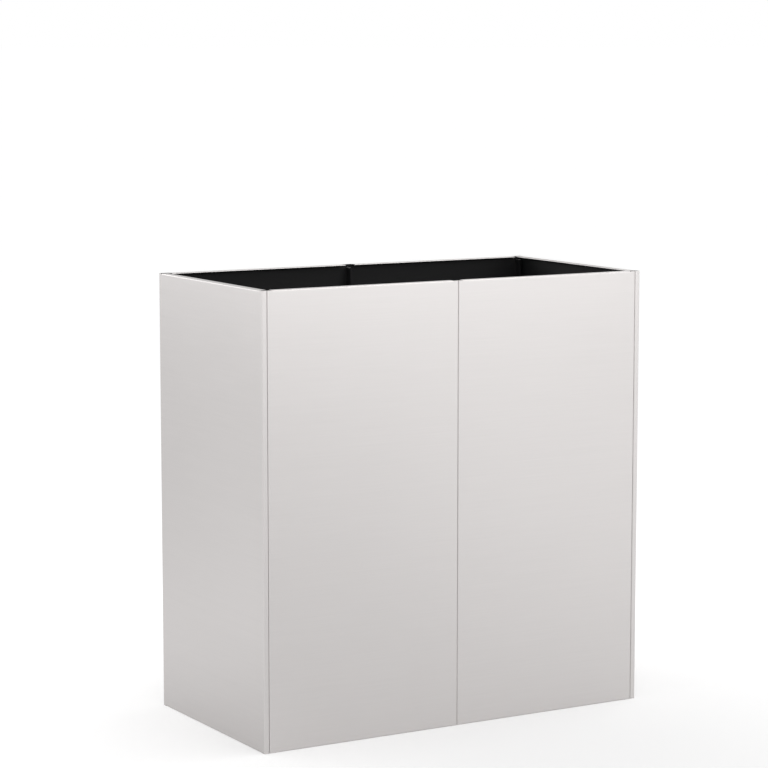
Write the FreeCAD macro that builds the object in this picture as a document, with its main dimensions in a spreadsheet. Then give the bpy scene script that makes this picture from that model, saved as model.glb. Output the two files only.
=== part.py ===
import FreeCAD, Part
import Sketcher
import enum
import math
import os
import types

# A tall rectangular floor planter of folded steel sheet, open at the top.
# Two equal sheets make the front and two the rear. One sheet on each side wraps both corners with a strip.
# Every sheet has a hemmed rim flange at the top, a foot flange at the bottom and seam flanges at its upright
# edges. All these flanges point into the box, so the seam bolts stay out of sight from outside.
# A base plate with drain holes lies on the foot flanges.
# A cross tie joins the front middle seam to the rear one, and keeps the long walls from bulging.
# Millimetres. The origin is on the floor under the middle of the box.
# +X points to the right, -Y to the front and +Z up.

SIZES = {
    # outside of the box
    "width": 780.0,
    "depth": 400.0,
    "height": 800.0,
    # the sheet and its folds
    "sheet": 1.0,
    "inner_bend": 1.0,
    "corner_strip": 10.0,
    "seam_flange": 18.0,
    "rim_flange": 15.0,
    "rim_hem": 7.0,
    "foot_flange": 18.0,
    "side_flange_inset": 10.0,
    "flange_end_gap": 5.0,
    "seam_flange_clearance": 4.0,
    # hexagon-head bolts and nuts, in square punched holes
    "bolt_diameter": 5.0,
    "bolt_hole_clearance": 0.5,
    "bolt_end_distance": 90.0,
    "bolt_protrusion": 1.0,
    "head_flats": 8.0,
    "head_height": 3.5,
    "nut_flats": 8.0,
    "nut_height": 4.0,
    "thread_clearance": 0.1,
    # cross tie
    "tie_width": 25.0,
    "tie_thickness": 2.0,
    "tie_end_clearance": 1.0,
    "tie_corner": 5.0,
    # base plate
    "base_clearance": 3.0,
    "base_corner": 6.0,
    "drain_diameter": 12.0,
    # how far a cut runs past what it cuts
    "overrun": 1.0,
}

COUNTS = {
    "bolts_per_seam": 3,
    "drain_columns": 4,
    "drain_rows": 2,
}

HEXAGON_SIDES = 6
HALF_TURN = 180
# Points closer than this are one point
SAME_POINT = 1e-6


class Axis(enum.IntEnum):
    """A sketch's own axes, which meet at its origin."""

    ACROSS = -1
    UP = -2


class Spot(enum.IntEnum):
    """The point of a line, an arc or a circle that a constraint holds."""

    START = 1
    END = 2
    CENTRE = 3


class Size:
    """A length worked out from the sheet of sizes: its value, and the expression that ties it to cells."""

    def __init__(self, text, value):
        self.text = text
        self.value = value

    def __add__(self, other):
        return Size(f"({self.text} + {other.text})", self.value + other.value)

    def __sub__(self, other):
        return Size(f"({self.text} - {other.text})", self.value - other.value)

    def __neg__(self):
        return Size(f"(-1 * {self.text})", -self.value)

    def __mul__(self, share):
        return Size(f"({self.text} * {share})", self.value * share)

    def __truediv__(self, share):
        return Size(f"({self.text} / {share})", self.value / share)


ZERO = Size("0", 0.0)

doc = FreeCAD.newDocument("planter")


def fill_sheet():
    """Writes every size and count into the spreadsheet, and returns the sizes by name."""
    cells = doc.addObject("Spreadsheet::Sheet", "sizes")
    for row, (name, value) in enumerate({**SIZES, **COUNTS}.items(), start=1):
        cells.set(f"A{row}", name)
        cells.set(f"B{row}", str(value))
        cells.setAlias(f"B{row}", name)
    doc.recompute()
    return types.SimpleNamespace(**{name: Size(f"sizes.{name}", value) for name, value in SIZES.items()})


size = fill_sheet()

# Sizes and places that several pieces share
outer_bend = size.inner_bend + size.sheet
face_width = size.width / 2 - size.corner_strip
seam_bolt_setback = (outer_bend + size.seam_flange) / 2
seam_flange_stop = size.sheet * 2 + size.seam_flange_clearance
bolt_spacing = (size.height - size.bolt_end_distance * 2) / (COUNTS["bolts_per_seam"] - 1)
bolt_hole = size.bolt_diameter + size.bolt_hole_clearance
seam_bolt_length = size.sheet * 2 + size.nut_height + size.bolt_protrusion
tie_bolt_length = seam_bolt_length + size.tie_thickness
bolt_heights = [size.bolt_end_distance + bolt_spacing * index for index in range(COUNTS["bolts_per_seam"])]
tie_height = bolt_heights[COUNTS["bolts_per_seam"] // 2]
plain_heights = [height for height in bolt_heights if height is not tie_height]


def place(piece, x, y, z, turn=0):
    """Sets a piece down, turned about the upright axis, and ties its place to the sizes."""
    up = FreeCAD.Vector(0, 0, 1)
    spot = FreeCAD.Vector(x.value, y.value, z.value)
    piece.Placement = FreeCAD.Placement(spot, FreeCAD.Rotation(up, turn))
    for axis, distance in zip("xyz", (x, y, z)):
        piece.setExpression(f"Placement.Base.{axis}", distance.text)


def new_body(label):
    body = doc.addObject("PartDesign::Body", label)
    body.Label = label
    return body


def origin_feature(body, role):
    return next(feature for feature in body.Origin.OriginFeatures if feature.Role == role)


def new_sketch(body, name, plane, offset=None):
    """Starts a sketch on one of the body's own planes, or at an offset along that plane's normal."""
    sketch = body.newObject("Sketcher::SketchObject", f"{body.Name}_{name}")
    sketch.AttachmentSupport = [(origin_feature(body, plane), "")]
    sketch.MapMode = "FlatFace"
    if offset:
        sketch.setExpression("AttachmentOffset.Base.z", offset.text)
    return sketch


def pin(sketch, geometry, point, x, y):
    """Ties one point of the sketch to its place, measured from the sketch's origin."""
    origin = (Axis.ACROSS, Spot.START)
    for kind, axis, distance in (("DistanceX", Axis.UP, x), ("DistanceY", Axis.ACROSS, y)):
        if distance is ZERO:
            sketch.addConstraint(Sketcher.Constraint("PointOnObject", geometry, point, axis))
            continue
        ends = (*origin, geometry, point)
        if distance.value < 0:
            distance = -distance
            ends = (geometry, point, *origin)
        index = sketch.addConstraint(Sketcher.Constraint(kind, *ends, distance.value))
        sketch.setExpression(f"Constraints[{index}]", distance.text)


def flat(point):
    return FreeCAD.Vector(point[0].value, point[1].value, 0)


def along_run(start, end, distance):
    """The point at a distance from start on a level or upright run to end."""
    x, y = start[:2]
    across = end[0].value - x.value
    up = end[1].value - y.value
    if abs(across) > abs(up):
        return (x + distance if across > 0 else x - distance), y
    return x, (y + distance if up > 0 else y - distance)


def outline(sketch, corners):
    """Draws a closed outline through (x, y) corners. An (x, y, radius) corner between level and upright runs
    is rounded by an arc."""
    stops = []
    for index, corner in enumerate(corners):
        if len(corner) == 2:
            stops.append([corner])
            continue
        before = corners[index - 1]
        after = corners[(index + 1) % len(corners)]
        stops.append([along_run(corner, before, corner[2]), along_run(corner, after, corner[2])])

    pieces = []
    for index, stop in enumerate(stops):
        if len(stop) == 2:
            pieces.append(add_arc(sketch, corners[index], *stop))
        start = stop[-1]
        end = stops[(index + 1) % len(stops)][0]
        if not flat(start).isEqual(flat(end), SAME_POINT):
            line = sketch.addGeometry(Part.LineSegment(flat(start), flat(end)))
            pieces.append((line, Spot.START, Spot.END, start))

    for index, (geometry, first, last, start) in enumerate(pieces):
        earlier, _, earlier_last, _ = pieces[index - 1]
        sketch.addConstraint(Sketcher.Constraint("Coincident", earlier, earlier_last, geometry, first))
        pin(sketch, geometry, first, *start)


def add_arc(sketch, corner, start, end):
    """Rounds a square corner from start to end. Arcs run anticlockwise, so a right turn starts at its end."""
    point = flat(corner)
    centre = flat(start) + flat(end) - point
    left_turn = (point - flat(start)).cross(flat(end) - point).z > 0
    first, last = (start, end) if left_turn else (end, start)
    angles = []
    for stop in (first, last):
        arm = flat(stop) - centre
        angles.append(math.atan2(arm.y, arm.x))
    ring = Part.Circle(centre, FreeCAD.Vector(0, 0, 1), corner[2].value)
    arc = sketch.addGeometry(Part.ArcOfCircle(ring, *angles))
    radius = sketch.addConstraint(Sketcher.Constraint("Radius", arc, corner[2].value))
    sketch.setExpression(f"Constraints[{radius}]", corner[2].text)
    if left_turn:
        return arc, Spot.START, Spot.END, start
    return arc, Spot.END, Spot.START, start


def rectangle(sketch, low_x, high_x, low_y, high_y):
    outline(sketch, [(low_x, low_y), (high_x, low_y), (high_x, high_y), (low_x, high_y)])


def rounded_rectangle(sketch, half_x, half_y, radius):
    outline(sketch, [
        (-half_x, -half_y, radius),
        (half_x, -half_y, radius),
        (half_x, half_y, radius),
        (-half_x, half_y, radius),
    ])


def square(sketch, x, y, width):
    half = width / 2
    rectangle(sketch, x - half, x + half, y - half, y + half)


def circle(sketch, x, y, diameter):
    ring = Part.Circle(flat((x, y)), FreeCAD.Vector(0, 0, 1), diameter.value / 2)
    geometry = sketch.addGeometry(ring)
    pin(sketch, geometry, Spot.CENTRE, x, y)
    index = sketch.addConstraint(Sketcher.Constraint("Diameter", geometry, diameter.value))
    sketch.setExpression(f"Constraints[{index}]", diameter.text)


def hexagon(sketch, flats):
    """A hexagon about the sketch's origin, given across its flats, with two corners on the level axis."""
    corner = flats / 2 / math.cos(math.pi / HEXAGON_SIDES)
    points = []
    for index in range(HEXAGON_SIDES):
        angle = 2 * math.pi * index / HEXAGON_SIDES
        on_level_axis = index % (HEXAGON_SIDES // 2) == 0
        up = ZERO if on_level_axis else corner * math.sin(angle)
        points.append((corner * math.cos(angle), up))
    outline(sketch, points)


def pad(sketch, length, both_sides=False, against_normal=False):
    body = sketch.getParentGeoFeatureGroup()
    feature = body.newObject("PartDesign::Pad", f"{sketch.Name}_pad")
    feature.Profile = sketch
    feature.Reversed = against_normal
    feature.setExpression("Length", length.text)
    if both_sides:
        feature.SideType = "Symmetric"
    return feature


def cut(sketch, depth=None):
    """Cuts the sketch into its body: to a depth against its normal, or right through both ways."""
    body = sketch.getParentGeoFeatureGroup()
    feature = body.newObject("PartDesign::Pocket", f"{sketch.Name}_cut")
    feature.Profile = sketch
    if depth:
        feature.setExpression("Length", depth.text)
    else:
        feature.Type = "ThroughAll"
        feature.SideType = "Symmetric"
    return feature


def repeat_upward(feature):
    """Repeats a seam flange's lowest bolt hole up the whole seam."""
    body = feature.getParentGeoFeatureGroup()
    pattern = body.newObject("PartDesign::LinearPattern", f"{feature.Name}_row")
    pattern.Originals = [feature]
    pattern.Direction = (origin_feature(body, "Z_Axis"), [""])
    pattern.setExpression("Length", (size.height - size.bolt_end_distance * 2).text)
    pattern.setExpression("Occurrences", "sizes.bolts_per_seam")
    body.Tip = pattern


def rim_outline():
    """The rim's section, inward and up: a bend out of the wall, the flange, and a hem folded under it."""
    top = size.height
    under = size.height - size.sheet
    hem_under = under - size.sheet
    hem_start = size.rim_flange - size.rim_hem
    return [
        (ZERO, top - outer_bend),
        (ZERO, top, outer_bend),
        (size.rim_flange, top, size.sheet),
        (size.rim_flange, hem_under, size.sheet),
        (hem_start, hem_under),
        (hem_start, under),
        (size.sheet, under, size.inner_bend),
        (size.sheet, top - outer_bend),
    ]


def foot_outline():
    """The foot's section, inward and up: a bend out of the wall and a flange on the floor."""
    return [
        (ZERO, outer_bend),
        (ZERO, ZERO, outer_bend),
        (size.foot_flange, ZERO),
        (size.foot_flange, size.sheet),
        (size.sheet, size.sheet, size.inner_bend),
        (size.sheet, outer_bend),
    ]


def fold_ends(body, plane_along_wall, plane_across_wall, rim_half, foot_half):
    """Takes the wall's top and bottom strips away, and folds the rim and the foot out of what is left."""
    strips = new_sketch(body, "strips", plane_along_wall)
    rectangle(strips, -rim_half, rim_half, size.height - outer_bend, size.height + size.overrun)
    rectangle(strips, -foot_half, foot_half, -size.overrun, outer_bend)
    cut(strips)
    rim = new_sketch(body, "rim", plane_across_wall)
    outline(rim, rim_outline())
    pad(rim, rim_half * 2, both_sides=True)
    foot = new_sketch(body, "foot", plane_across_wall)
    outline(foot, foot_outline())
    pad(foot, foot_half * 2, both_sides=True)


def face_panel(label, x, y, turn):
    """A front or rear sheet. In its own frame its outside is at y = 0, and its flanges point towards +Y."""
    half = face_width / 2
    body = new_body(label)
    wall = new_sketch(body, "wall", "XY_Plane")
    outline(wall, [
        (-half, outer_bend),
        (-half, ZERO, outer_bend),
        (half, ZERO, outer_bend),
        (half, outer_bend),
        (half - size.sheet, outer_bend),
        (half - size.sheet, size.sheet, size.inner_bend),
        (size.sheet - half, size.sheet, size.inner_bend),
        (size.sheet - half, outer_bend),
    ])
    pad(wall, size.height)
    # The rim and the foot stop short of each seam, clear of the side sheet's own rim and foot
    corner_room = half + size.corner_strip - size.flange_end_gap
    fold_ends(body, "XZ_Plane", "YZ_Plane", corner_room - size.rim_flange, corner_room - size.foot_flange)
    flanges = new_sketch(body, "seam_flanges", "XY_Plane", seam_flange_stop)
    rectangle(flanges, -half, size.sheet - half, outer_bend, size.seam_flange)
    rectangle(flanges, half - size.sheet, half, outer_bend, size.seam_flange)
    pad(flanges, size.height - seam_flange_stop * 2)
    hole = new_sketch(body, "bolt_hole", "YZ_Plane")
    square(hole, seam_bolt_setback, size.bolt_end_distance, bolt_hole)
    repeat_upward(cut(hole))
    place(body, x, y, ZERO, turn)
    return body


def side_panel(label, x, turn):
    """A side sheet. In its own frame its outside is at x = 0, and its flanges point towards +X."""
    half = size.depth / 2
    strip = size.corner_strip
    inner_strip = size.corner_strip - size.sheet
    body = new_body(label)
    wall = new_sketch(body, "wall", "XY_Plane")
    outline(wall, [
        (strip, outer_bend - half),
        (strip, -half, outer_bend),
        (ZERO, -half, outer_bend),
        (ZERO, half, outer_bend),
        (strip, half, outer_bend),
        (strip, half - outer_bend),
        (inner_strip, half - outer_bend),
        (inner_strip, half - size.sheet, size.inner_bend),
        (size.sheet, half - size.sheet, size.inner_bend),
        (size.sheet, size.sheet - half, size.inner_bend),
        (inner_strip, size.sheet - half, size.inner_bend),
        (inner_strip, outer_bend - half),
    ])
    pad(wall, size.height)
    end_half = half - size.side_flange_inset
    fold_ends(body, "YZ_Plane", "XZ_Plane", end_half, end_half)
    flanges = new_sketch(body, "seam_flanges", "XY_Plane", seam_flange_stop)
    rectangle(flanges, inner_strip, strip, outer_bend - half, size.seam_flange - half)
    rectangle(flanges, inner_strip, strip, half - size.seam_flange, half - outer_bend)
    pad(flanges, size.height - seam_flange_stop * 2)
    holes = new_sketch(body, "bolt_holes", "YZ_Plane", strip + size.overrun)
    square(holes, seam_bolt_setback - half, size.bolt_end_distance, bolt_hole)
    square(holes, half - seam_bolt_setback, size.bolt_end_distance, bolt_hole)
    repeat_upward(cut(holes, size.sheet + size.overrun * 2))
    place(body, x, ZERO, ZERO, turn)
    return body


def cell_middles(length, count):
    """The middles of equal cells along a length that is centred on zero."""
    return [length * ((2 * index + 1 - count) / (2 * count)) for index in range(count)]


def base_plate(label):
    """A flat plate on the foot flanges, with rounded corners and a drain hole in each cell of a grid."""
    edge_gap = size.sheet + size.base_clearance
    length = size.width - edge_gap * 2
    width = size.depth - edge_gap * 2
    body = new_body(label)
    plate = new_sketch(body, "plate", "XY_Plane")
    rounded_rectangle(plate, length / 2, width / 2, size.base_corner)
    for x in cell_middles(length, COUNTS["drain_columns"]):
        for y in cell_middles(width, COUNTS["drain_rows"]):
            circle(plate, x, y, size.drain_diameter)
    pad(plate, size.sheet)
    place(body, ZERO, ZERO, size.sheet)
    return body


def cross_tie(label, height):
    """A flat bar from the front middle seam to the rear one, on the right of the seam flanges."""
    half_length = size.depth / 2 - outer_bend - size.tie_end_clearance
    half_width = size.tie_width / 2
    hole_place = size.depth / 2 - seam_bolt_setback
    body = new_body(label)
    bar = new_sketch(body, "bar", "YZ_Plane")
    rounded_rectangle(bar, half_length, half_width, size.tie_corner)
    square(bar, -hole_place, ZERO, bolt_hole)
    square(bar, hole_place, ZERO, bolt_hole)
    pad(bar, size.tie_thickness)
    place(body, size.sheet, ZERO, height)
    return body


def bolt(label, length):
    """A bolt along +X with a hexagon head, with the underside of its head at x = 0."""
    body = new_body(label)
    head = new_sketch(body, "head", "YZ_Plane")
    hexagon(head, size.head_flats)
    pad(head, size.head_height, against_normal=True)
    shank = new_sketch(body, "shank", "YZ_Plane")
    circle(shank, ZERO, ZERO, size.bolt_diameter)
    pad(shank, length)
    return body


def nut(label):
    """A hexagon nut along +X, with its seat at x = 0."""
    body = new_body(label)
    prism = new_sketch(body, "prism", "YZ_Plane")
    hexagon(prism, size.nut_flats)
    circle(prism, ZERO, ZERO, size.bolt_diameter + size.thread_clearance)
    pad(prism, size.nut_height)
    return body


def fasteners(label, pattern, spots, turn=0):
    """One group of equal bolts or nuts, each at its (x, y, z) spot."""
    links = []
    for index, spot in enumerate(spots):
        link = doc.addObject("App::Link", f"{label}_{index}")
        link.LinkedObject = pattern
        place(link, *spot, turn)
        links.append(link)
    group = doc.addObject("Part::Compound", label)
    group.Label = label
    group.Links = links
    return group


def corner_seam(name, x, y, turn, seam_bolt, seam_nut):
    """Bolts from inside the box through both flanges beside a corner, with nuts behind the corner strip."""
    inward = size.sheet if x.value < 0 else -size.sheet
    return [
        fasteners(f"{name}_seam_bolts", seam_bolt, [(x + inward, y, z) for z in bolt_heights], turn),
        fasteners(f"{name}_seam_nuts", seam_nut, [(x - inward, y, z) for z in bolt_heights], turn),
    ]


def middle_seam(name, y, seam_bolt, tie_bolt, seam_nut):
    """Bolts through both flanges in the middle, from the left. The longer one holds the cross tie too."""
    tie_face = size.sheet + size.tie_thickness
    return [
        fasteners(f"{name}_centre_seam_bolts", seam_bolt, [(-size.sheet, y, z) for z in plain_heights]),
        fasteners(f"{name}_centre_seam_nuts", seam_nut, [(size.sheet, y, z) for z in plain_heights]),
        fasteners(f"{name}_tie_bolt", tie_bolt, [(-size.sheet, y, tie_height)]),
        fasteners(f"{name}_tie_nut", seam_nut, [(tie_face, y, tie_height)]),
    ]


def build():
    """Makes every piece, and returns the ones that are the planter's own nodes."""
    half_depth = size.depth / 2
    half_face = face_width / 2
    bolt_y = half_depth - seam_bolt_setback
    seam_bolt = bolt("seam_bolt", seam_bolt_length)
    tie_bolt = bolt("tie_bolt", tie_bolt_length)
    seam_nut = nut("seam_nut")
    return [
        face_panel("front_left_panel", -half_face, -half_depth, 0),
        face_panel("front_right_panel", half_face, -half_depth, 0),
        face_panel("rear_left_panel", -half_face, half_depth, HALF_TURN),
        face_panel("rear_right_panel", half_face, half_depth, HALF_TURN),
        side_panel("left_side_panel", -size.width / 2, 0),
        side_panel("right_side_panel", size.width / 2, HALF_TURN),
        base_plate("base_plate"),
        cross_tie("cross_tie", tie_height),
        *corner_seam("front_left", -face_width, -bolt_y, HALF_TURN, seam_bolt, seam_nut),
        *corner_seam("front_right", face_width, -bolt_y, 0, seam_bolt, seam_nut),
        *corner_seam("rear_left", -face_width, bolt_y, HALF_TURN, seam_bolt, seam_nut),
        *corner_seam("rear_right", face_width, bolt_y, 0, seam_bolt, seam_nut),
        *middle_seam("front", -bolt_y, seam_bolt, tie_bolt, seam_nut),
        *middle_seam("rear", bolt_y, seam_bolt, tie_bolt, seam_nut),
    ]


def check(pieces):
    """Stops if any feature failed or any piece has no sound solid."""
    failed = [item.Name for item in doc.Objects if {"Invalid", "Error"} & set(item.State)]
    if failed:
        raise RuntimeError(f"features that failed: {failed}")
    for piece in pieces:
        if piece.Shape.isNull() or not piece.Shape.isValid() or not piece.Shape.Solids:
            raise RuntimeError(f"{piece.Label} has no sound solid")


def write(pieces):
    os.makedirs("parts", exist_ok=True)
    for piece in pieces:
        piece.Shape.exportStep(f"parts/{piece.Label}.step")


nodes = build()
doc.recompute()
check(nodes)
write(nodes)
for node in nodes:
    print(f"{node.Label}: {len(node.Shape.Solids)} solids, {node.Shape.Volume:.1f} mm3")
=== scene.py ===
import math
from typing import NamedTuple

import bmesh
import bpy
from mathutils import Euler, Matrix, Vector


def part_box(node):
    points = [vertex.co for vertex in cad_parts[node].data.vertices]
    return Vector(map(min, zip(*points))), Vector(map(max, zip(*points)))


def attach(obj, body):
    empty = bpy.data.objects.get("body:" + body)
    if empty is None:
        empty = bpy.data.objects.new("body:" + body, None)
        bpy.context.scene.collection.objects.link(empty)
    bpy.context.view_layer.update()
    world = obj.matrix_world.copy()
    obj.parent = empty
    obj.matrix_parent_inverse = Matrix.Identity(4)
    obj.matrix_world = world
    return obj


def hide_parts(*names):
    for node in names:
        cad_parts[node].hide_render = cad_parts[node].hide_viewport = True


# A tall floor planter of folded brushed steel sheets, painted black inside as shade. Everything is in
# metres.

BODY = "root"

UP = Vector((0, 0, 1))
INTO_BOX = {
    "front_left_panel": Vector((0, 1, 0)),
    "front_right_panel": Vector((0, 1, 0)),
    "rear_left_panel": Vector((0, -1, 0)),
    "rear_right_panel": Vector((0, -1, 0)),
    "left_side_panel": Vector((1, 0, 0)),
    "right_side_panel": Vector((-1, 0, 0)),
}
# Pieces inside the box, painted black as shade like the sheets' inner faces
PAINTED_SHADE_NODES = ("base_plate", "cross_tie")
BOLT_NODES = (
    "front_left_seam_bolts",
    "front_right_seam_bolts",
    "rear_left_seam_bolts",
    "rear_right_seam_bolts",
    "front_centre_seam_bolts",
    "rear_centre_seam_bolts",
    "front_tie_bolt",
    "rear_tie_bolt",
)
NUT_NODES = tuple(name.replace("bolt", "nut") for name in BOLT_NODES)

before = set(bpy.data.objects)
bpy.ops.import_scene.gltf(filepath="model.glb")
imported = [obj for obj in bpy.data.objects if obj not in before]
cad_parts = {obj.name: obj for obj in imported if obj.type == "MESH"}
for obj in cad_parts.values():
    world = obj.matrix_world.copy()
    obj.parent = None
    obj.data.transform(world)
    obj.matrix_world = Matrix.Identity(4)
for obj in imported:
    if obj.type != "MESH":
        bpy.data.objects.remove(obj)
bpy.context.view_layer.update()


class Nodes:
    """A tree of shader nodes under construction."""

    def __init__(self, tree):
        self.tree = tree

    def add(self, kind, values=None, **feeds):
        """Adds a node, sets its own values, and feeds its inputs."""
        made = self.tree.nodes.new(kind)
        for name, value in (values or {}).items():
            setattr(made, name, value)
        self.feed_all(made, feeds)
        return made

    def feed_all(self, made, feeds):
        """Feeds a node's inputs by their names, which have _ for each space."""
        for name, value in feeds.items():
            self.feed(made.inputs[name.replace("_", " ")], value)

    def feed(self, socket, value):
        """Links an output to a socket, or sets the socket to a plain value."""
        if isinstance(value, bpy.types.NodeSocket):
            self.tree.links.new(value, socket)
        else:
            socket.default_value = value

    def combine(self, kind, values, inputs):
        """Adds a node, feeds the inputs that it uses in turn, and gives the output that it uses."""
        made = self.add(kind, values)
        sockets = [socket for socket in made.inputs if socket.enabled]
        for socket, value in zip(sockets, inputs):
            self.feed(socket, value)
        return next(socket for socket in made.outputs if socket.enabled)

    def maths(self, operation, *inputs):
        return self.combine("ShaderNodeMath", {"operation": operation}, inputs)

    def vector_maths(self, operation, *inputs):
        return self.combine("ShaderNodeVectorMath", {"operation": operation}, inputs)

    def mix(self, share, first, second, kind="RGBA"):
        """Goes from first at share 0 to second at share 1."""
        return self.combine("ShaderNodeMix", {"data_type": kind}, (share, first, second))

    def spread(self, share, low, high):
        """Maps a share from 0 to 1 onto the range from low to high."""
        return self.add("ShaderNodeMapRange", Value=share, To_Min=low, To_Max=high).outputs["Result"]

    def about(self, share, middle, reach):
        """Maps a share from 0 to 1 onto the range with that reach on either side of the middle."""
        return self.spread(share, middle - reach, middle + reach)

    def place(self):
        return self.add("ShaderNodeTexCoord").outputs["Object"]

    def noise(self, scales, detail):
        """Noise from 0 to 1, finest along the axis with the largest of the three scales."""
        mapping = self.add("ShaderNodeMapping", Vector=self.place(), Scale=scales)
        made = self.add("ShaderNodeTexNoise", Vector=mapping.outputs["Vector"], Scale=1.0, Detail=detail)
        return made.outputs["Fac"]

    def seen(self):
        """1 for the rays that show the background: camera, glossy and transmission rays."""
        rays = self.add("ShaderNodeLightPath").outputs
        either = self.maths("MAXIMUM", rays["Is Camera Ray"], rays["Is Glossy Ray"])
        return self.maths("MAXIMUM", either, rays["Is Transmission Ray"])


class Shader(Nodes):
    """A procedural material with one surface shader."""

    def __init__(self, name, **settings):
        self.material = bpy.data.materials.new(name)
        self.material.use_nodes = True
        super().__init__(self.material.node_tree)
        self.tree.nodes.clear()
        self.surface = self.add("ShaderNodeBsdfPrincipled", **settings)
        self.add("ShaderNodeOutputMaterial", Surface=self.surface.outputs["BSDF"])

    def complete(self, **feeds):
        """Feeds what varies over the surface, and gives the material."""
        self.feed_all(self.surface, feeds)
        return self.material


def grey(level):
    return (level, level, level, 1.0)


# The black painted shade inside the box

PAINTED_SHADE_COLOUR = (0.016, 0.016, 0.017, 1.0)
PAINTED_SHADE_DARKEST = grey(0.011)
PAINTED_SHADE_ROUGHNESS = 0.5
PAINTED_SHADE_ROUGHNESS_REACH = 0.08
PAINTED_SHADE_SPECULAR = 0.15
SPECKLE_SCALES = (700, 700, 700)
SPECKLE_BUMP = 0.3
SPECKLE_HEIGHT = 0.0002
DUST_COLOUR = grey(0.03)
DUST_SCALES = (14, 14, 14)
DUST_SHARE = 0.5


def painted_shade_speckle(shader):
    """A fine speckle over the black painted shade, with its colour and its roughness."""
    speckle = shader.noise(SPECKLE_SCALES, detail=1)
    colour = shader.mix(speckle, PAINTED_SHADE_DARKEST, PAINTED_SHADE_COLOUR)
    roughness = shader.about(speckle, PAINTED_SHADE_ROUGHNESS, PAINTED_SHADE_ROUGHNESS_REACH)
    return speckle, colour, roughness


def black_coat():
    """Matt black painted shade for the inside of the box, with a little dust on it."""
    shader = Shader("black_coat", Metallic=0.0, Specular_IOR_Level=PAINTED_SHADE_SPECULAR)
    speckle, colour, roughness = painted_shade_speckle(shader)
    dust = shader.spread(shader.noise(DUST_SCALES, detail=4), 0.0, DUST_SHARE)
    bump = shader.add("ShaderNodeBump", Strength=SPECKLE_BUMP, Distance=SPECKLE_HEIGHT, Height=speckle)
    return shader.complete(
        Base_Color=shader.mix(dust, colour, DUST_COLOUR),
        Roughness=roughness,
        Normal=bump.outputs["Normal"],
    )


# Brushed steel, with black painted shade inside

STEEL_COLOUR = (0.57, 0.55, 0.544, 1.0)
STEEL_ROUGHNESS = 0.35
STEEL_ROUGHNESS_REACH = 0.07
STEEL_ANISOTROPY = 0.65
# The share of its light that the steel keeps at a grazing angle
STEEL_GRAZING_SHARE = 0.72
# The brush lines' scales along the sheet, through it and up it
LINE_SCALE_ALONG = 9
LINE_SCALE_THROUGH = 900
LINE_SCALE_UP = 1400
LINE_SHARE = 0.05
BAND_SCALES = (1.2, 1.2, 330)
BAND_SHARE = 0.015
CLOUD_SCALES = (3, 3, 3)
CLOUD_SHARE = 0.015
# The highlight is drawn out upwards, with a slight lean inwards that gives it a direction on level faces too
TANGENT_LEAN = 0.01
# From a sheet's outside to past its upright bends, to a point in its flanges' fold, and to past its rim
PAST_BEND = 0.003
FOLD_REACH = 0.007
PAST_RIM = 0.0155
# The ends of a rim face along the sheet, to this cosine, and lie this far in from its upright edges
END_COSINE = 0.9
EDGE_MARGIN = 0.001


def inside_mask(shader, node, inward):
    """1 where the black painted shade goes: on the faces of a folded sheet that look into its fold, lie
    deeper than its rim or end the rim.
    """
    low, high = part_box(node)
    along = inward.cross(UP)
    half_length = abs((high - low).dot(along)) / 2
    half_depth = abs((high - low).dot(inward)) / 2
    outside = (low + high) / 2 - inward * half_depth

    geometry = shader.add("ShaderNodeNewGeometry").outputs
    normal = geometry["True Normal"]
    from_outside = shader.vector_maths("SUBTRACT", geometry["Position"], tuple(outside))
    depth = shader.vector_maths("DOT_PRODUCT", from_outside, tuple(inward))
    off_middle = shader.maths("ABSOLUTE", shader.vector_maths("DOT_PRODUCT", from_outside, tuple(along)))
    endways = shader.maths("ABSOLUTE", shader.vector_maths("DOT_PRODUCT", normal, tuple(along)))
    to_fold = shader.vector_maths("SUBTRACT", tuple(inward * FOLD_REACH), from_outside)

    folded = shader.maths("GREATER_THAN", shader.vector_maths("DOT_PRODUCT", to_fold, normal), 0.0)
    deep = shader.maths("GREATER_THAN", depth, PAST_RIM)
    past_bend = shader.maths("GREATER_THAN", depth, PAST_BEND)
    end_face = shader.maths("GREATER_THAN", endways, END_COSINE)
    off_edge = shader.maths("LESS_THAN", off_middle, half_length - EDGE_MARGIN)
    rim_end = shader.maths("MULTIPLY", shader.maths("MULTIPLY", past_bend, end_face), off_edge)
    return shader.maths("MAXIMUM", shader.maths("MAXIMUM", folded, deep), rim_end)


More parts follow.
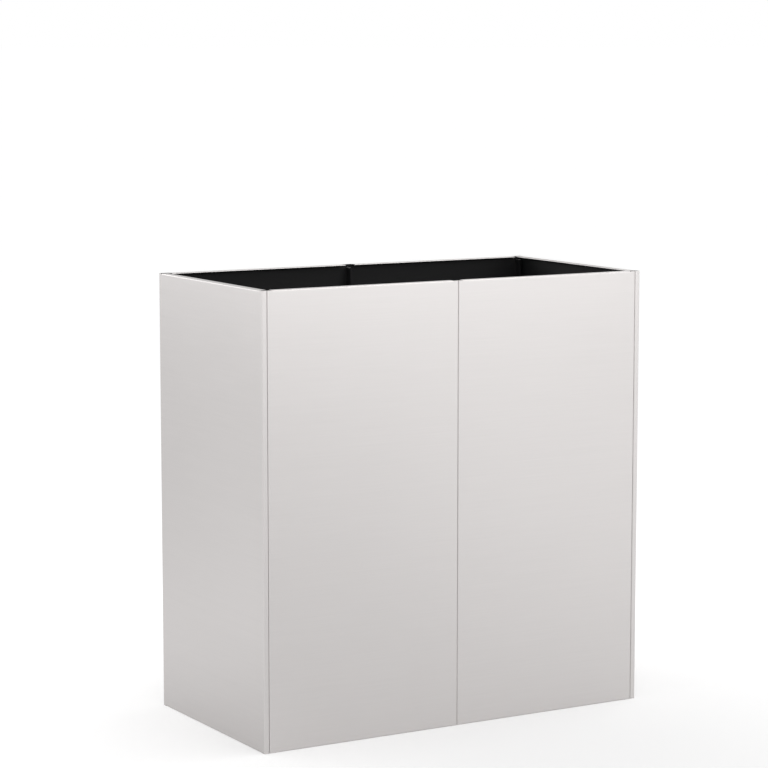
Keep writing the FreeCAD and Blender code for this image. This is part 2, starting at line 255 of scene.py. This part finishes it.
def steel_panel(node, inward):
    """Brushed level along the sheet outside, and painted black as shade where the sheet looks into the box.
    """
    shader = Shader(
        f"{node}_finish",
        Anisotropic=STEEL_ANISOTROPY,
        Specular_Tint=grey(STEEL_GRAZING_SHARE),
        Specular_IOR_Level=PAINTED_SHADE_SPECULAR,
    )
    line_scales = (LINE_SCALE_ALONG, LINE_SCALE_THROUGH, LINE_SCALE_UP)
    if inward.x:
        line_scales = (LINE_SCALE_THROUGH, LINE_SCALE_ALONG, LINE_SCALE_UP)
    lines = shader.noise(line_scales, detail=3)
    bands = shader.noise(BAND_SCALES, detail=3)
    clouds = shader.noise(CLOUD_SCALES, detail=2)
    tone = shader.about(bands, 1.0, BAND_SHARE)
    tone = shader.maths("MULTIPLY", tone, shader.about(lines, 1.0, LINE_SHARE))
    tone = shader.maths("MULTIPLY", tone, shader.about(clouds, 1.0, CLOUD_SHARE))
    steel = shader.vector_maths("SCALE", STEEL_COLOUR[:3], tone)
    roughness = shader.about(lines, STEEL_ROUGHNESS, STEEL_ROUGHNESS_REACH)
    tangent = UP + inward * TANGENT_LEAN
    drawn_out = shader.add("ShaderNodeCombineXYZ", X=tangent.x, Y=tangent.y, Z=tangent.z)

    # The faces that look into the box are painted black as shade
    painted_shade_mask = inside_mask(shader, node, inward)
    _, painted_shade, shade_roughness = painted_shade_speckle(shader)
    return shader.complete(
        Base_Color=shader.mix(painted_shade_mask, steel, painted_shade),
        Metallic=shader.maths("SUBTRACT", 1.0, painted_shade_mask),
        Roughness=shader.mix(painted_shade_mask, roughness, shade_roughness, "FLOAT"),
        Tangent=drawn_out.outputs["Vector"],
    )


# Fastener steel

FASTENER_DARKEST = grey(0.5)
FASTENER_BRIGHTEST = grey(0.66)
FASTENER_SMOOTHEST = 0.25
FASTENER_ROUGHEST = 0.42
MOTTLE_SCALES = (900, 900, 900)


def fastener_steel():
    """Plain bright steel with a faint mottle."""
    shader = Shader("fastener_steel", Metallic=1.0)
    mottle = shader.noise(MOTTLE_SCALES, detail=3)
    return shader.complete(
        Base_Color=shader.mix(mottle, FASTENER_DARKEST, FASTENER_BRIGHTEST),
        Roughness=shader.spread(mottle, FASTENER_SMOOTHEST, FASTENER_ROUGHEST),
    )


def dress(node, material):
    """Gives a CAD node its material in every slot."""
    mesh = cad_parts[node].data
    mesh.materials.clear()
    mesh.materials.append(material)


def add_object(data):
    """Puts data into the scene as an object of its name."""
    made = bpy.data.objects.new(data.name, data)
    bpy.context.scene.collection.objects.link(made)
    return made


# Bolts and nuts in full detail

# Points in a ring: a multiple of 6, so that a hexagon's corners are among them
AROUND = 24
THREAD_PITCH = 0.0008
THREAD_DEPTH = 0.00045
THREAD_STEPS = 4
# A chamfer leaves a round face, of this share of the width across flats, and slopes back from it
FACE_SHARE = 0.95
CHAMFER_SLOPE = math.tan(math.radians(30))
COUNTERSINK = 0.0003
# Fasteners of one node are further apart than this up the seam
SEAM_GAP = 0.05
# Points of a fastener this close along its axis are at one place, which is rounded to so many digits
SAME_PLACE = 0.0001
PLACE_DIGITS = 6
SMOOTH_BELOW = math.radians(35)


def stacks(node):
    """The points of each bolt or nut in a CAD node, from the lowest up."""
    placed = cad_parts[node]
    points = [placed.matrix_world @ vertex.co for vertex in placed.data.vertices]
    points.sort(key=lambda point: point.z)
    groups = [[points[0]]]
    for before, point in zip(points, points[1:]):
        if point.z - before.z > SEAM_GAP:
            groups.append([])
        groups[-1].append(point)
    return groups


def middle_of(values):
    return (min(values) + max(values)) / 2


class Turned:
    """A mesh of rings about a level axis along X."""

    def __init__(self, mesh, points):
        self.mesh = mesh
        self.y = middle_of([point.y for point in points])
        self.z = middle_of([point.z for point in points])
        self.flats = 2 * max(point.z - self.z for point in points)
        self.stops = sorted({round(point.x, PLACE_DIGITS) for point in points})
        self.last = None

    def off_axis(self, point):
        return math.hypot(point.y - self.y, point.z - self.z)

    def reach(self, points, x):
        """The furthest that the points at x are from the axis."""
        return max(self.off_axis(point) for point in points if abs(point.x - x) < SAME_PLACE)

    def hexagon(self, angle):
        """From the axis to the hexagon's side, at an angle from one of its corners."""
        sixth = math.pi / 3
        return self.flats / 2 / math.cos(angle % sixth - sixth / 2)

    def face_reach(self):
        return self.flats / 2 * FACE_SHARE

    def chamfer(self, angle):
        """How far the chamfer cuts a side back from the end face."""
        return (self.hexagon(angle) - self.face_reach()) * CHAMFER_SLOPE

    def ring(self, place):
        """Adds a ring, where place gives x and the distance from the axis at an angle, and joins it on."""
        made = []
        for step in range(AROUND):
            angle = 2 * math.pi * step / AROUND
            x, reach = place(angle)
            spot = (x, self.y + reach * math.cos(angle), self.z + reach * math.sin(angle))
            made.append(self.mesh.verts.new(spot))
        if self.last:
            self.join(self.last, made)
        self.last = made
        return made

    def join(self, first, second):
        for step in range(AROUND):
            self.mesh.faces.new((first[step - 1], first[step], second[step], second[step - 1]))


def add_bolt(mesh, points):
    """A bolt with a chamfered hexagon head and a thread up to it."""
    bolt = Turned(mesh, points)
    first, under, last = bolt.stops
    top, tip = sorted((first, last), key=lambda x: -bolt.reach(points, x))
    forward = math.copysign(1, tip - top)
    root = bolt.reach(points, tip) - THREAD_DEPTH
    length = abs(tip - under)

    def thread(along):
        def place(angle):
            turn = (along / THREAD_PITCH - angle / (2 * math.pi)) % 1
            reach = root + THREAD_DEPTH * abs(2 * turn - 1)
            return under + forward * along, min(reach, root + length - along)
        return place

    mesh.faces.new(bolt.ring(lambda angle: (top, bolt.face_reach())))
    bolt.ring(lambda angle: (top + forward * bolt.chamfer(angle), bolt.hexagon(angle)))
    bolt.ring(lambda angle: (under, bolt.hexagon(angle)))
    count = round(length / THREAD_PITCH * THREAD_STEPS)
    for step in range(count + 1):
        bolt.ring(thread(length * step / count))
    mesh.faces.new(bolt.last)


def add_nut(mesh, points):
    """A hexagon nut, chamfered on both faces, with a countersunk bore."""
    nut = Turned(mesh, points)
    low, high = nut.stops
    bore = min(nut.off_axis(point) for point in points)
    mouth = bore + COUNTERSINK
    first = nut.ring(lambda angle: (low + COUNTERSINK, bore))
    nut.ring(lambda angle: (low, mouth))
    nut.ring(lambda angle: (low, nut.face_reach()))
    nut.ring(lambda angle: (low + nut.chamfer(angle), nut.hexagon(angle)))
    nut.ring(lambda angle: (high - nut.chamfer(angle), nut.hexagon(angle)))
    nut.ring(lambda angle: (high, nut.face_reach()))
    nut.ring(lambda angle: (high, mouth))
    nut.ring(lambda angle: (high - COUNTERSINK, bore))
    nut.join(nut.last, first)


def detail(node, add_one, material):
    """Replaces a node of plain fasteners with detailed ones in the same places."""
    built = bmesh.new()
    for points in stacks(node):
        add_one(built, points)
    bmesh.ops.recalc_face_normals(built, faces=built.faces)
    mesh = bpy.data.meshes.new(f"{node}_detail")
    built.to_mesh(mesh)
    built.free()
    mesh.shade_smooth()
    mesh.set_sharp_from_angle(angle=SMOOTH_BELOW)
    mesh.materials.append(material)
    piece = add_object(mesh)
    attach(piece, BODY)
    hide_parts(node)


# Stage, lights and camera


class LightPanel(NamedTuple):
    """A soft panel: its middle, the way that it shines, its size, and its radiance."""

    middle: tuple
    shines: tuple
    width: float
    height: float
    radiance: float


LIGHT_PANELS = {
    "front": LightPanel((0, -1.6, 1.25), (0, 1, 0), 3.2, 0.8, 1.55),
    "right": LightPanel((1.6, 0, 1.25), (-1, 0, 0), 3.2, 0.8, 0.75),
    "rear": LightPanel((-1.8, 1.6, 1.25), (0, -1, 0), 3.2, 0.8, 1.35),
    "left": LightPanel((-1.6, 0, 1.25), (1, 0, 0), 3.2, 0.8, 0.8),
    "low_right": LightPanel((1.4, -1.4, 0.27), (-1, 1, 0), 1.6, 0.5, 0.3),
    "top": LightPanel((0.95, -0.4, 2.4), (0, 0, -1), 1.2, 1.0, 2.4),
}

WORLD_LIGHT = 0.65
FLOOR_REACH = 400.0
FLOOR_CORNERS = ((-1, -1), (1, -1), (1, 1), (-1, 1))
FLOOR_COLOUR = grey(0.76)
# The floor glows where it is seen: least at a place in front, which paints a broad shadow before the planter
# that its faces also reflect, and most from the far distance off it on
FLOOR_PAINTED_SHADOW_MIDDLE = (0.1, -0.6, 0)
FLOOR_LIFT_NEAR = 0.15
FLOOR_LIFT_FAR = 0.51
FLOOR_FAR = 1.8

CAMERA_PLACE = (-2.4534, -4.1297, 1.2167)
CAMERA_YAW = math.radians(30.354)
CAMERA_PITCH = math.radians(7.38)
CAMERA_FOCAL_PIXELS = 2648.1
IMAGE_PIXELS = 768
SENSOR_WIDTH = 36.0


def white_world():
    """A white surround, at full white where it is seen and lower where it lights."""
    world = bpy.data.worlds.new("studio")
    bpy.context.scene.world = world
    world.use_nodes = True
    nodes = Nodes(world.node_tree)
    strength = nodes.spread(nodes.seen(), WORLD_LIGHT, 1.0)
    nodes.feed_all(nodes.tree.nodes["Background"], {"Color": grey(1.0), "Strength": strength})


def pale_floor():
    """A pale floor that keeps the shadow, with a broad painted shadow in front of the planter, and goes
    white where nothing shades it.
    """
    mesh = bpy.data.meshes.new("floor")
    corners = [(x * FLOOR_REACH, y * FLOOR_REACH, 0) for x, y in FLOOR_CORNERS]
    mesh.from_pydata(corners, [], [range(len(corners))])
    shader = Shader(
        "floor",
        Base_Color=FLOOR_COLOUR,
        Roughness=1.0,
        Specular_IOR_Level=0.0,
        Emission_Color=grey(1.0),
    )
    lift = shader.add(
        "ShaderNodeMapRange",
        {"interpolation_type": "SMOOTHSTEP"},
        Value=shader.vector_maths("DISTANCE", shader.place(), FLOOR_PAINTED_SHADOW_MIDDLE),
        From_Max=FLOOR_FAR,
        To_Min=FLOOR_LIFT_NEAR,
        To_Max=FLOOR_LIFT_FAR,
    )
    glow = shader.maths("MULTIPLY", shader.seen(), lift.outputs["Result"])
    mesh.materials.append(shader.complete(Emission_Strength=glow))
    floor = add_object(mesh)


def soft_light(name, panel):
    """An area light whose face has the panel's radiance."""
    light = bpy.data.lights.new(f"{name}_light_panel", "AREA")
    light.shape = "RECTANGLE"
    light.size = panel.width
    light.size_y = panel.height
    light.energy = panel.radiance * math.pi * panel.width * panel.height
    lamp = add_object(light)
    lamp.location = panel.middle
    lamp.rotation_euler = Vector(panel.shines).to_track_quat("-Z", "Y").to_euler()
    lamp.visible_camera = False


def photo_camera():
    """The camera of the photograph's view, tilted down at the planter."""
    data = bpy.data.cameras.new("camera")
    data.sensor_width = SENSOR_WIDTH
    data.lens = CAMERA_FOCAL_PIXELS / IMAGE_PIXELS * SENSOR_WIDTH
    camera = add_object(data)
    camera.location = CAMERA_PLACE
    camera.rotation_euler = Euler((math.pi / 2 - CAMERA_PITCH, 0, -CAMERA_YAW))
    bpy.context.scene.camera = camera


for name, inward in INTO_BOX.items():
    dress(name, steel_panel(name, inward))
# The base plate and the tie, inside the box, are painted black as shade too
painted_shade = black_coat()
for name in PAINTED_SHADE_NODES:
    dress(name, painted_shade)
bright = fastener_steel()
for name in BOLT_NODES:
    detail(name, add_bolt, bright)
for name in NUT_NODES:
    detail(name, add_nut, bright)

white_world()
pale_floor()
for name, panel in LIGHT_PANELS.items():
    soft_light(name, panel)
photo_camera()
bpy.context.scene.view_settings.view_transform = "Standard"
